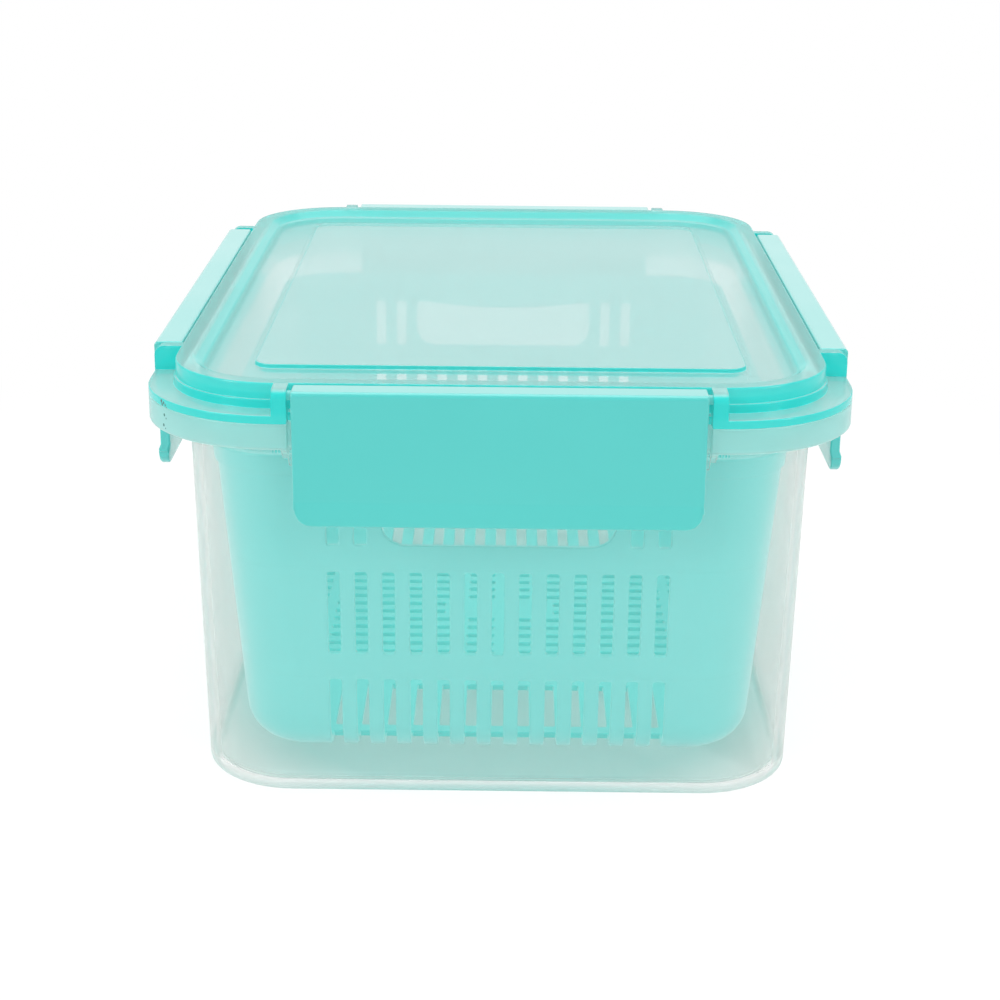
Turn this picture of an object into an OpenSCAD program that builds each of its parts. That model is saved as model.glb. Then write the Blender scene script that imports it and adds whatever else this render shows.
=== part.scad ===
// Fridge storage box: a clear tub with a lift-out drainer basket and a gasketed lid
// held down by four hinged latches. The box stands on the XY plane, centred on the
// Z axis, with its long side along Y and its front towards -Y.

/* [Overall] */
// Width over the rim, left to right
rim_w = 180.6; // [172:0.2:220]
// Depth over the rim, front to back
rim_d = 247.6; // [240:0.2:320]
// Corner radius of the rim seen from above
rim_r = 34.7; // [30:0.1:37]
// Height of the latch tops above the table
box_h = 112.6; // [104:0.2:160]

/* [Tub] */
// Distance from the rim's edge in to the tub wall
tub_inset = 10.2; // [9.4:0.1:12]
// Thickness of the tub wall
tub_wall = 1.8; // [1.2:0.1:2.4]
// Thickness of the tub floor
tub_floor_t = 2; // [1.2:0.1:3]
// How far each wall leans in from the rim to the base
tub_draft = 1.95; // [0.5:0.05:4]
// Rounding between the walls and the base
tub_base_r = 2.4; // [1:0.1:4]
// Thickness of the flange that carries the lid
rim_t = 1.8; // [1.2:0.1:2.4]
// Height of the skirt that hangs from the rim
skirt_h = 6.5; // [4:0.1:9]
// Thickness of the skirt
skirt_t = 1.6; // [1:0.1:2.2]
// Height of the lip that rises above the rim into the lid
lip_h = 3.2; // [2:0.1:3.6]

/* [Catches] */
// How much lower than the skirt the rim reaches behind each latch
catch_drop = 5.15; // [3:0.05:8]
// How far each catch ledge stands out
catch_out = 1; // [0.6:0.05:1.3]
// Height of each catch ledge
catch_h = 2.9; // [2:0.1:4]
// Distance from the ring's wall out to the rim behind each latch
recess_out = 3.2; // [2.8:0.1:3.4]

/* [Lid] */
// Distance from the rim's edge in to the ring's outer wall
ring_inset = 7; // [6.4:0.1:8]
// Height of the ring above the latch tops
ring_proud = 0.3; // [0.1:0.1:1]
// Height from the rim up to the latch tops
lid_h = 8.4; // [7.6:0.1:11]
// Thickness of the lid's flange
flange_t = 2.2; // [1.6:0.1:3]
// Height of the lower tier of the ring's outer wall
tier_h = 2.3; // [1:0.1:3]
// How far the lower tier stands out
tier_out = 0.5; // [0.2:0.1:1]
// Thickness of the ring's outer wall
ring_wall = 1.7; // [1.2:0.1:2.2]
// Width of the ring's flat top
ring_top_w = 4.6; // [3.5:0.1:6]
// Width of the slope from the ring down to the channel
slope_w = 3.2; // [2:0.1:5]
// Depth of the channel below the ring's top
channel_depth = 2.5; // [1.5:0.1:3]
// Thickness of the lid's top sheet
lid_t = 1.6; // [1.2:0.1:2]
// Width of the channel on the left and right
channel_w = 12.5; // [8:0.1:20]
// Width of the channel at the front and back
channel_d = 15; // [8:0.1:24]
// Height of the raised panel above the channel
panel_rise = 1.1; // [0.5:0.1:1.8]
// Corner radius of the raised panel
panel_r = 5; // [3:0.1:12]
// Thickness of the wall that centres the lid in the tub
plug_t = 1.6; // [1:0.1:2]
// Height of that wall below the rim's top
plug_drop = 0.6; // [0.2:0.1:3]

/* [Gasket] */
// Height of the gasket
seal_h = 2.6; // [2:0.1:3]
// Clearance beside the gasket in its groove
seal_gap = 0.2; // [0.1:0.05:0.4]

/* [Latches] */
// Distance from the rim's sides to the ends of the front and back latches
latch_inset_short = 39.8; // [39:0.1:60]
// Distance from the rim's front and back to the ends of the side latches
latch_inset_long = 47.5; // [42:0.1:80]
// How far the latches reach out from the ring's wall
latch_reach = 7.9; // [7.4:0.1:9]
// Height of the latches
latch_h = 34.4; // [30:0.1:40]
// Thickness of the latch's front
latch_t = 2.6; // [2:0.1:3]
// Thickness of the latch's top plate
latch_top_t = 2.2; // [1.8:0.1:2.8]
// How far the latch's front draws in at its waist
waist_in = 0.65; // [0:0.05:1]
// Height of the flared lower edge
flare_h = 6.4; // [4:0.1:9]
// Corner radius at the lower ends of the latch
latch_r = 4; // [2:0.1:8]
// Gap between the ring's wall and the latch's top plate
latch_gap = 0.45; // [0.4:0.05:0.8]
// Rounding of the latch's long edges
latch_edge = 0.6; // [0.3:0.05:0.9]
// Distance from the ring's wall out to the hinge axis
hinge_out = 3.9; // [3.8:0.05:4.2]
// Distance of the hinge axis below the latch tops
hinge_drop = 1.8; // [1.7:0.05:1.9]
// Diameter of the hinge pins
pin_d = 2.4; // [1.6:0.1:2.6]
// Radial clearance around each hinge pin
pin_gap = 0.05; // [0.03:0.01:0.1]
// Diameter of the stiffening bead along the hinge axis
bead_d = 3.4; // [2.8:0.1:3.4]
// Length of each hinge lug on the lid
lug_l = 3.8; // [3:0.1:5]
// Gap between a latch's end and its lug
lug_gap = 1.1; // [0.6:0.1:1.6]
// How far each hinge pin reaches into its lug
pin_grip = 3.3; // [2:0.1:3.6]
// Rounding of each lug's upper outer edge
lug_r = 2.5; // [1:0.1:3]
// Height of the hook inside each latch
hook_h = 2.3; // [1.5:0.1:3]
// Distance from each end of the latch to its hook
hook_inset = 12; // [6:0.5:25]
// Clearance between the hook's edge and the rim behind it
hook_back = 0.2; // [0.1:0.05:0.5]
// Clearance between the hook and the catch above it
hook_gap = 0.15; // [0.1:0.05:0.4]

/* [Basket] */
// Distance from the tub's inner wall to the basket at its rim
basket_gap = 3.8; // [3:0.1:8]
// How far the basket's wall leans in from its rim to its base
basket_draft = 5.6; // [2:0.1:10]
// Thickness of the basket's walls and floor
basket_t = 1.7; // [1.2:0.1:2.4]
// Distance of the basket's top below the latch tops
basket_top_drop = 21; // [14:0.5:30]
// Height of the thicker band around the basket's top
band_h = 5.3; // [3:0.1:8]
// How far that band stands out
band_out = 0.8; // [0.4:0.1:1.5]
// Corner radius of the basket seen from above
basket_r = 17.2; // [14:0.1:24]
// Rounding between the basket's walls and its floor
basket_base_r = 10.5; // [6:0.5:14]
// Height of the feet under the basket
foot_h = 3.8; // [2:0.1:8]
// Diameter of each foot
foot_d = 9; // [5:0.5:14]
// Distance between the feet, left to right
foot_span = 92; // [60:1:104]

/* [Slots] */
// Distance from one upright slot to the next
slot_pitch = 7.1; // [6:0.1:9]
// Width of the upright slots
slot_w = 3.3; // [2:0.1:4.5]
// Least distance from a corner's curve to the middle of the nearest slot
corner_margin = 12.5; // [6:0.5:20]
// Upright slots at each end of the top row, beside the handle
slots_beside = 2; // [1:1:3]
// Height of the handle openings and the slots beside them
handle_h = 15.3; // [12:0.1:20]
// Distance from the basket's top to the handle openings
handle_drop = 9.5; // [7:0.1:12]
// Corner radius at the bottom of each handle opening
handle_r = 6; // [3:0.1:7]
// How far each handle's upper edge bows down in the middle
handle_bow = 1.9; // [0.5:0.1:3]
// Height of the middle row of slots
mid_row_h = 23.4; // [15:0.1:30]
// Height of the solid bands between the rows of slots
row_gap = 7.5; // [5:0.1:12]
// Distance from one cross slot in the floor to the next
cross_pitch = 6.55; // [5:0.05:9]
// Width of the cross slots
cross_w = 2.7; // [1.5:0.1:4]
// Rows of cross slots on each side of the middle row
cross_rows = 5; // [3:1:5]
// Width of the solid ribs between groups of cross slots
cross_rib = 2.9; // [2:0.1:5]
// Length of the short cross slots beside the middle rib
cross_short = 8.2; // [5:0.1:12]
// Length of the outer cross slots
cross_outer = 6; // [3:0.1:8]
// Distance from the foot of the side walls in to those slots
cross_margin = 8.1; // [7:0.1:12]
// Width of the solid patch in the middle of the floor
patch_w = 33.8; // [26:0.1:50]
// How far in from the foot of the wall the lowest wall slots end in the floor
return_l = 12.6; // [10:0.1:15]
// Gap between those ends and the long floor slots
long_gap = 4; // [2:0.1:8]
// Length of the long floor slots
long_l = 28; // [15:0.5:30]

/* [Hidden] */
$fn = 96;
hull_fn = 48;
// Steps around a rounded edge, the overlap of joined pieces and the run-out of cuts
edge_steps = 6;
eps = 0.01;
cut = 1;

frost = [0.84, 0.9, 0.87, 0.55];
lid_teal = [0.5, 0.85, 0.83, 0.75];
mint = [0.42, 0.83, 0.8];
basket_teal = [0.38, 0.82, 0.79];
clear_white = [0.92, 0.95, 0.94];

// Levels, from the table up
rim_top = box_h - lid_h;
rim_under = rim_top - rim_t;
skirt_bottom = rim_top - skirt_h;
catch_bottom = skirt_bottom - catch_drop;
lip_top = rim_top + lip_h;
flange_top = rim_top + flange_t;
tier_top = flange_top + tier_h;
ring_top = box_h + ring_proud;
channel_top = ring_top - channel_depth;
channel_under = channel_top - lid_t;
panel_top = channel_top + panel_rise;
groove_top = lip_top + seal_h;
hinge_z = box_h - hinge_drop;

// Outlines, as half sizes where a name ends in x or y
rim_x = rim_w / 2;
rim_y = rim_d / 2;
ring_x = rim_x - ring_inset;
ring_y = rim_y - ring_inset;
tub_x = rim_x - tub_inset;
tub_y = rim_y - tub_inset;
ring_r = rim_r - ring_inset;
tub_r = rim_r - tub_inset;
groove_inset = ring_inset + ring_wall;
slope_inset = ring_inset + ring_top_w;
channel_inset = slope_inset + slope_w;
plug_inset = channel_inset - plug_t;

// Latches, hooks and lugs
latch_l_short = rim_w - 2 * latch_inset_short;
latch_l_long = rim_d - 2 * latch_inset_long;
hook_out = recess_out - hook_back;
hook_top = catch_bottom - hook_gap;
lug_top = ring_top - ring_proud / 2;
latch_bottom = box_h - latch_h;
flare_top = latch_bottom + flare_h;

// The turn about Z, distance to the ring's wall and latch length of each side
sides = [
    [0, ring_y, latch_l_short],
    [90, ring_x, latch_l_long],
    [180, ring_y, latch_l_short],
    [270, ring_x, latch_l_long]
];

// Basket levels and outline
basket_top = box_h - basket_top_drop;
basket_base = tub_floor_t + foot_h;
basket_floor = basket_base + basket_t;
basket_x = tub_x - tub_wall - basket_gap - band_out;
basket_y = tub_y - tub_wall - basket_gap - band_out;
handle_top = basket_top - handle_drop;
handle_bottom = handle_top - handle_h;
mid_top = handle_bottom - row_gap;
mid_bottom = mid_top - mid_row_h;
low_top = mid_bottom - row_gap;
side_low_bottom = basket_base + basket_base_r;

// Slots: "last" counts the columns on each side of the middle one
last_across = floor((basket_x - basket_r - corner_margin) / slot_pitch);
last_along = floor((basket_y - basket_r - corner_margin) / slot_pitch);
handle_half = (last_across - slots_beside) * slot_pitch + slot_w / 2;
return_start = basket_y - basket_draft - return_l;
long_start = return_start - long_gap - long_l;
short_start = cross_rib / 2;
long_cross_start = short_start + cross_short + cross_rib;
outer_end = basket_x - basket_draft - cross_margin;
outer_start = outer_end - cross_outer;
long_cross_end = outer_start - cross_rib;
cross_end = cross_rows * cross_pitch + cross_w / 2;
foot_y = (cross_end + long_start) / 2;

// A rounded rectangle given by its half sizes and corner radius
module plan(hx, hy, r) {
    square([2 * hx, 2 * (hy - r)], center = true);
    square([2 * (hx - r), 2 * hy], center = true);
    for (sx = [-1, 1], sy = [-1, 1]) {
        translate([sx * (hx - r), sy * (hy - r)]) circle(r);
    }
}

// The rim's outline, moved in by a distance
module rim_plan(inset) {
    plan(rim_x - inset, rim_y - inset, rim_r - inset);
}

// A slab of the rim's outline between two levels
module slab(inset, low, high) {
    translate([0, 0, low]) linear_extrude(high - low) rim_plan(inset);
}

// A closed frame between two insets from the rim's edge
module frame(outer, inner, low, high) {
    difference() {
        slab(outer, low, high);
        slab(inner, low - cut, high + cut);
    }
}

// A thin slice used as a station of a hull
module slice(hx, hy, r, z) {
    translate([0, 0, z]) linear_extrude(eps) plan(hx, hy, r, $fn = hull_fn);
}

// A tapered box with rounded upright corners and a rounded lower edge
module tapered_box(hx, hy, r, draft, base_r, low, high) {
    hull() {
        slice(hx, hy, r, high - eps);
        for (k = [0 : edge_steps]) {
            turn = 90 * k / edge_steps;
            inset = draft + base_r * (1 - cos(turn));
            z = low + base_r * (1 - sin(turn));
            slice(hx - inset, hy - inset, r - min(inset - draft, r - 2), z);
        }
    }
}

// Moves a piece drawn at the front, with the ring's wall at Y = 0, to one of the four sides
module at_side(side) {
    rotate([0, 0, side[0]]) translate([0, -side[1], 0]) children();
}

// A profile in the Y and Z directions, run along X
module run_along(length) {
    translate([-length / 2, 0, 0]) rotate([90, 0, 90]) linear_extrude(length) children();
}

// Points along an arc
function arc(center, r, from, to) = [
    for (k = [0 : edge_steps])
        let (a = from + (to - from) * k / edge_steps)
        center + r * [cos(a), sin(a)]
];

// The space behind a latch, cut out of the rim and the lid's flange
module latch_recess(latch_l) {
    half = latch_l / 2 + lug_gap;
    translate([-half, -ring_inset - cut, skirt_bottom - cut]) {
        cube([2 * half, ring_inset + cut - recess_out, tier_top - skirt_bottom + cut]);
    }
}

// The deeper wall under the rim behind a latch, with its catch ledge and slanted ends
module catch_wall(latch_l) {
    half = latch_l / 2 + lug_gap;
    inner = recess_out - skirt_t;
    run_along(2 * half) polygon([
        [-inner, rim_top - eps],
        [-inner, catch_bottom],
        [-recess_out, catch_bottom],
        [-recess_out, rim_top - eps]
    ]);
    run_along(latch_l - 2 * hook_inset) polygon([
        [-recess_out + eps, catch_bottom],
        [-recess_out - catch_out, catch_bottom],
        [-recess_out - catch_out, catch_bottom + catch_h / 3],
        [-recess_out + eps, catch_bottom + catch_h]
    ]);
    for (end = [-1, 1]) {
        translate([end * (half + skirt_t / 2), 0, 0]) run_along(skirt_t) polygon([
            [-inner, rim_top - eps],
            [-inner, catch_bottom + skirt_t],
            [-recess_out, catch_bottom + skirt_t],
            [-ring_inset + skirt_t / 2, skirt_bottom],
            [-ring_inset + skirt_t / 2, rim_top - eps]
        ]);
    }
}

module container() {
    color(frost) difference() {
        union() {
            tapered_box(tub_x, tub_y, tub_r, tub_draft, tub_base_r, 0, rim_under + eps);
            slab(tub_inset, rim_under, lip_top);
            difference() {
                slab(0, skirt_bottom, rim_top);
                slab(skirt_t, skirt_bottom - cut, rim_under);
                for (s = sides) at_side(s) latch_recess(s[2]);
            }
            for (s = sides) at_side(s) catch_wall(s[2]);
        }
        tapered_box(
            tub_x - tub_wall, tub_y - tub_wall, tub_r - tub_wall, tub_draft,
            tub_base_r, tub_floor_t, rim_under + eps
        );
        slab(tub_inset + tub_wall, rim_under - eps, lip_top + cut);
    }
}

// A lug that holds one hinge pin, standing on the ring's wall beside a latch's end
module lug() {
    root = ring_wall / 2;
    run_along(lug_l) difference() {
        union() {
            translate([-ring_inset, rim_top]) square([ring_inset + root, lug_top - lug_r - rim_top]);
            translate([-ring_inset + lug_r, rim_top]) {
                square([ring_inset - lug_r + root, lug_top - rim_top]);
            }
            translate([-ring_inset + lug_r, lug_top - lug_r]) circle(lug_r);
        }
        translate([-hinge_out, hinge_z]) circle(pin_d / 2 + pin_gap);
    }
}

// The raised panel's outline between two levels
module panel(inset, low, high) {
    translate([0, 0, low]) linear_extrude(high - low) plan(
        rim_x - channel_inset - channel_w - inset,
        rim_y - channel_inset - channel_d - inset,
        panel_r - inset
    );
}

module lid() {
    color(lid_teal) difference() {
        union() {
            difference() {
                union() {
                    slab(ring_inset, rim_top, ring_top);
                    slab(ring_inset - tier_out, rim_top, tier_top);
                    difference() {
                        slab(0, rim_top, flange_top);
                        for (s = sides) at_side(s) latch_recess(s[2]);
                    }
                }
                // The dish inside the ring's top, with its slope down to the channel
                hull() {
                    slice(rim_x - slope_inset, rim_y - slope_inset, rim_r - slope_inset, ring_top);
                    slice(rim_x - channel_inset, rim_y - channel_inset, rim_r - channel_inset, channel_top);
                }
            }
            panel(0, channel_top - eps, panel_top);
            frame(plug_inset, channel_inset, rim_top - plug_drop, rim_top + eps);
            for (s = sides, end = [-1, 1]) at_side(s) {
                translate([end * (s[2] / 2 + lug_gap + lug_l / 2), 0, 0]) lug();
            }
        }
        // The groove for the gasket and the tub's lip
        frame(groove_inset, plug_inset, rim_top - cut, groove_top);
        // The hollow under the channel and the panel
        slab(channel_inset, rim_top - plug_drop - cut, channel_under);
        panel(lid_t, channel_under - eps, panel_top - lid_t);
    }
}

module seal_ring() {
    color(clear_white) frame(groove_inset + seal_gap, plug_inset - seal_gap, lip_top, groove_top);
}

// A latch's section: the top plate, the front that leans in to its waist, and the flare
module latch_section() {
    waist = latch_reach - waist_in;
    polygon(concat(
        arc([-latch_gap - latch_edge, box_h - latch_edge], latch_edge, 0, 90),
        arc([-latch_reach + latch_edge, box_h - latch_edge], latch_edge, 90, 180),
        [[-waist, flare_top + flare_h / 2], [-waist, flare_top]],
        arc([-latch_reach + latch_edge, latch_bottom + latch_edge], latch_edge, 180, 270),
        [
            [-latch_reach + latch_t, latch_bottom],
            [-waist + latch_t, flare_top],
            [-latch_reach + latch_t, box_h - latch_top_t],
            [-latch_gap, box_h - latch_top_t]
        ]
    ));
}

// The hook inside a latch, which passes under the catch ledge
module hook_section() {
    root = latch_reach - latch_t / 2;
    polygon([
        [-hook_out, hook_top],
        [-hook_out, hook_top - hook_h / 2],
        [-hook_out - hook_h / 2, hook_top - hook_h],
        [-root, hook_top - hook_h],
        [-root, hook_top]
    ]);
}

// A latch's outline seen from outside, with rounded lower corners
module latch_outline(latch_l) {
    half = latch_l / 2;
    translate([-half, latch_bottom + latch_r]) square([latch_l, latch_h - latch_r + cut]);
    translate([-half + latch_r, latch_bottom - eps]) square([latch_l - 2 * latch_r, latch_h / 2]);
    for (end = [-1, 1]) {
        translate([end * (half - latch_r), latch_bottom + latch_r]) circle(latch_r);
    }
}

// A pin at each end of a latch, running in the lid's lugs
module latch(latch_l) {
    intersection() {
        run_along(latch_l) latch_section();
        rotate([90, 0, 0]) linear_extrude(latch_reach + cut) latch_outline(latch_l);
    }
    run_along(latch_l - 2 * hook_inset) hook_section();
    run_along(latch_l) translate([-hinge_out, hinge_z]) circle(bead_d / 2);
    run_along(latch_l + 2 * (lug_gap + pin_grip)) translate([-hinge_out, hinge_z]) circle(pin_d / 2);
}

module latch_front() {
    color(mint) at_side(sides[0]) latch(sides[0][2]);
}

module latch_rear() {
    color(mint) at_side(sides[2]) latch(sides[2][2]);
}

module latch_left() {
    color(mint) at_side(sides[3]) latch(sides[3][2]);
}

module latch_right() {
    color(mint) at_side(sides[1]) latch(sides[1][2]);
}

// A handle opening seen from the front, with its upper edge bowed down
module handle_outline() {
    bow_half = handle_half - handle_r / 2;
    bow_r = (bow_half * bow_half + handle_bow * handle_bow) / (2 * handle_bow);
    difference() {
        union() {
            translate([-handle_half, handle_bottom + handle_r]) {
                square([2 * handle_half, handle_h - handle_r]);
            }
            translate([-handle_half + handle_r, handle_bottom]) {
                square([2 * (handle_half - handle_r), handle_h]);
            }
            for (end = [-1, 1]) {
                translate([end * (handle_half - handle_r), handle_bottom + handle_r]) circle(handle_r);
            }
        }
        translate([0, handle_top - handle_bow + bow_r]) circle(bow_r);
    }
}

// A hole right through the basket, centred left to right, between two levels
module across(middle, low, high) {
    translate([middle - slot_w / 2, -rim_y, low]) cube([slot_w, rim_d, high - low]);
}

// The same from side to side
module along(middle, low, high) {
    translate([-rim_x, middle - slot_w / 2, low]) cube([rim_w, slot_w, high - low]);
}

module wall_slots() {
    for (k = [-last_across : last_across]) {
        across(k * slot_pitch, mid_bottom, mid_top);
        if (abs(k) > last_across - slots_beside) across(k * slot_pitch, handle_bottom, handle_top);
        // The lowest row runs down round the edge and ends in the floor
        for (end = [0, 1]) mirror([0, end, 0]) {
            translate([k * slot_pitch - slot_w / 2, return_start, basket_base - cut]) {
                cube([slot_w, rim_y - return_start, low_top - basket_base + cut]);
            }
        }
    }
    for (k = [-last_along : last_along]) {
        along(k * slot_pitch, mid_bottom, mid_top);
        along(k * slot_pitch, side_low_bottom, low_top);
    }
}

// A slot through the floor between two distances from the middle, on the left and the right
module cross_pair(from, to, row) {
    for (start = [from, -to]) {
        translate([start, row * cross_pitch - cross_w / 2, basket_base - cut]) {
            cube([to - from, cross_w, basket_t + 2 * cut]);
        }
    }
}

// The solid patch in the middle takes the place of the slots in two rows
module floor_slots() {
    for (row = [-cross_rows : cross_rows]) {
        beside_patch = row == 0 || row == 1;
        if (!beside_patch) cross_pair(short_start, short_start + cross_short, row);
        cross_pair(beside_patch ? patch_w / 2 : long_cross_start, long_cross_end, row);
        cross_pair(outer_start, outer_end, row);
    }
    for (k = [-last_across : last_across], end = [0, 1]) mirror([0, end, 0]) {
        translate([k * slot_pitch - slot_w / 2, long_start, basket_base - cut]) {
            cube([slot_w, long_l, basket_t + 2 * cut]);
        }
    }
}

module basket() {
    color(basket_teal) {
        difference() {
            union() {
                tapered_box(
                    basket_x, basket_y, basket_r, basket_draft,
                    basket_base_r, basket_base, basket_top
                );
                translate([0, 0, basket_top - band_h]) linear_extrude(band_h) {
                    plan(basket_x + band_out, basket_y + band_out, basket_r + band_out);
                }
            }
            tapered_box(
                basket_x - basket_t, basket_y - basket_t, basket_r - basket_t, basket_draft,
                basket_base_r - basket_t / 2, basket_floor, basket_top + cut
            );
            translate([0, rim_y, 0]) rotate([90, 0, 0]) linear_extrude(rim_d) handle_outline();
            wall_slots();
            floor_slots();
        }
        for (sx = [-1, 1], sy = [-1, 1]) {
            translate([sx * foot_span / 2, sy * foot_y, tub_floor_t]) {
                cylinder(d = foot_d, h = foot_h + eps);
            }
        }
    }
}

container();
lid();
seal_ring();
basket();
latch_front();
latch_rear();
latch_left();
latch_right();
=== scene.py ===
from math import cos, pi, radians, sin, sqrt, tan

import bmesh
import bpy
from mathutils import Matrix, Vector


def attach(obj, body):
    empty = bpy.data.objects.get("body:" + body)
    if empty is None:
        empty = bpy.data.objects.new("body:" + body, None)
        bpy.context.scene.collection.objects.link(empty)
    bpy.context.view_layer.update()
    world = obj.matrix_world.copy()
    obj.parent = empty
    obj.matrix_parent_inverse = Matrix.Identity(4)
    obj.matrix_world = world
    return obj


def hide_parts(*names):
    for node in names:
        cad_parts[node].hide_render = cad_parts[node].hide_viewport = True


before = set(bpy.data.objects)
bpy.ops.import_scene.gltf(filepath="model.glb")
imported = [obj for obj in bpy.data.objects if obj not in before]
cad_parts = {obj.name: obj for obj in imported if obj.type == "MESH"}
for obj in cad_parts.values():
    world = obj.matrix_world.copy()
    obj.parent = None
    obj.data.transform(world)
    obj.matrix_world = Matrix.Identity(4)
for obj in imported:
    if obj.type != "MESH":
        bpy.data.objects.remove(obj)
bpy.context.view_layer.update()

mm = 0.001

print("frame loaded:", len(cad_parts), "nodes")


# the camera, as it stood for the photograph
view = {
    "place": (2.1, -611.6, 248.3),
    "turn": 0.21,  # degrees to the left
    "tilt": 18.44,  # degrees down
    "roll": -0.56,
    "lens": 75.6,
    "sensor": 36.0,
    "clip": (0.01, 50.0),
}


def setCamera(view):
    turn, tilt, roll = radians(view["turn"]), radians(view["tilt"]), radians(view["roll"])
    ahead = Vector((-sin(turn), cos(turn), 0))
    side = Vector((cos(turn), sin(turn), 0))
    up = Vector((0, 0, 1))
    ahead, up = ahead * cos(tilt) - up * sin(tilt), up * cos(tilt) + ahead * sin(tilt)
    side, up = side * cos(roll) - up * sin(roll), up * cos(roll) + side * sin(roll)
    cam = bpy.data.cameras.new("photoCamera")
    cam.lens = view["lens"]
    cam.sensor_width = view["sensor"]
    cam.clip_start, cam.clip_end = view["clip"]
    holder = bpy.data.objects.new("photoCamera", cam)
    bpy.context.scene.collection.objects.link(holder)
    holder.matrix_world = Matrix.Translation(Vector(view["place"]) * mm) @ Matrix(
        (side, up, -ahead)
    ).transposed().to_4x4()
    bpy.context.scene.camera = holder


setCamera(view)


# shader helpers: each adds a node to a tree and gives back what it puts out
def node(tree, kind, **settings):
    made = tree.nodes.new("ShaderNode" + kind)
    for key, value in settings.items():
        if hasattr(made, key):
            setattr(made, key, value)
        else:
            made.inputs[key].default_value = value
    return made


def feed(tree, value, socket):
    if isinstance(value, (int, float, tuple)):
        socket.default_value = value
    else:
        tree.links.new(value, socket)


def maths(tree, operation, first, second=0.0):
    made = node(tree, "Math", operation=operation)
    feed(tree, first, made.inputs[0])
    feed(tree, second, made.inputs[1])
    return made.outputs[0]


def vectorMaths(tree, operation, first, second=(0.0, 0.0, 0.0)):
    made = node(tree, "VectorMath", operation=operation)
    feed(tree, first, made.inputs[0])
    feed(tree, second, made.inputs[1])
    isNumber = operation in ("LENGTH", "DISTANCE", "DOT_PRODUCT")
    return made.outputs["Value" if isNumber else "Vector"]


def upwardOf(tree, vector):
    made = node(tree, "SeparateXYZ")
    tree.links.new(vector, made.inputs["Vector"])
    return made.outputs["Z"]


def between(tree, value, low, high, first=0.0, last=1.0, way="LINEAR"):
    # runs from the first value to the last while the input runs from low to high
    made = node(tree, "MapRange", interpolation_type=way)
    feed(tree, value, made.inputs["Value"])
    feed(tree, low, made.inputs["From Min"])
    feed(tree, high, made.inputs["From Max"])
    feed(tree, first, made.inputs["To Min"])
    feed(tree, last, made.inputs["To Max"])
    return made.outputs[0]


def facingOf(tree):
    return node(tree, "NewGeometry").outputs["Normal"]


def mixColour(tree, share, first, second):
    made = node(tree, "Mix", data_type="RGBA")
    for slot, value in ((0, share), (6, first), (7, second)):  # its colours are sockets 6 and 7
        feed(tree, value, made.inputs[slot])
    return made.outputs[2]


# light, world and floor
studio = {
    "worldOnPiece": 0.62,
    "topLamp": {"place": (0.0, 0.05, 1.1), "size": (1.2, 1.2), "watts": 8.0},
    "leftLamp": {"place": (-0.95, -0.75, 0.55), "size": (0.32, 0.32), "watts": 4.0},
    "rightLamp": {"place": (1.0, -0.7, 0.5), "size": (0.32, 0.32), "watts": 3.4},
    "floorHalf": 6.0,
    "floorColour": (0.96, 0.96, 0.96, 1),
    "floorRough": 0.9,
    "floorLift": 0.6,  # share of plain white near the box, so that its shadow stays light
    "shadowReach": (0.16, 0.36),  # the floor turns plain white between these distances, in m
    "clearBounces": 32,  # see-through walls that one ray may cross
}


def addLamp(name, lamp, aim=(0, 0, 0.06)):
    light = bpy.data.lights.new(name, "AREA")
    light.shape = "RECTANGLE"
    light.size, light.size_y = lamp["size"]
    light.energy = lamp["watts"]
    holder = bpy.data.objects.new(name, light)
    bpy.context.scene.collection.objects.link(holder)
    holder.location = lamp["place"]
    ahead = Vector(aim) - Vector(lamp["place"])
    holder.rotation_euler = ahead.to_track_quat("-Z", "Y").to_euler()
    holder.visible_camera = False


def seenDirectly(tree):
    # 1 for rays that show the background: from the camera, in gloss and through clear plastic
    path = node(tree, "LightPath")
    shown = maths(tree, "MAXIMUM", path.outputs["Is Camera Ray"], path.outputs["Is Glossy Ray"])
    return maths(tree, "MAXIMUM", shown, path.outputs["Is Transmission Ray"])


def makeWorld(studio):
    world = bpy.data.worlds.new("paleStudio")
    bpy.context.scene.world = world
    world.use_nodes = True
    tree = world.node_tree
    back = tree.nodes["Background"]
    back.inputs["Color"].default_value = (1, 1, 1, 1)
    strength = between(tree, seenDirectly(tree), 0.0, 1.0, studio["worldOnPiece"], 1.0)
    tree.links.new(strength, back.inputs["Strength"])


def makeFloor(studio):
    bpy.ops.object.select_all(action="DESELECT")
    bpy.ops.mesh.primitive_plane_add(size=2 * studio["floorHalf"], location=(0, 0, 0))
    floor = bpy.context.object
    floor.name = "floor"
    finish = bpy.data.materials.new("paleFloor")
    finish.use_nodes = True
    tree = finish.node_tree
    skin = tree.nodes["Principled BSDF"]
    skin.inputs["Base Color"].default_value = studio["floorColour"]
    skin.inputs["Roughness"].default_value = studio["floorRough"]
    skin.inputs["Specular IOR Level"].default_value = 0.0
    glow = node(tree, "Emission", Strength=1.0)
    away = vectorMaths(tree, "LENGTH", node(tree, "TexCoord").outputs["Object"])
    white = between(tree, away, *studio["shadowReach"], studio["floorLift"], 1.0, way="SMOOTHSTEP")
    blend = node(tree, "MixShader")
    tree.links.new(maths(tree, "MULTIPLY", seenDirectly(tree), white), blend.inputs["Fac"])
    tree.links.new(skin.outputs[0], blend.inputs[1])
    tree.links.new(glow.outputs[0], blend.inputs[2])
    tree.links.new(blend.outputs[0], tree.nodes["Material Output"].inputs["Surface"])
    floor.data.materials.append(finish)


for lampName in ("topLamp", "leftLamp", "rightLamp"):
    addLamp(lampName, studio[lampName])
makeWorld(studio)
makeFloor(studio)
bpy.context.scene.view_settings.view_transform = "Standard"
bpy.context.scene.cycles.transparent_max_bounces = studio["clearBounces"]
print("camera, lamps and floor in place")


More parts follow.
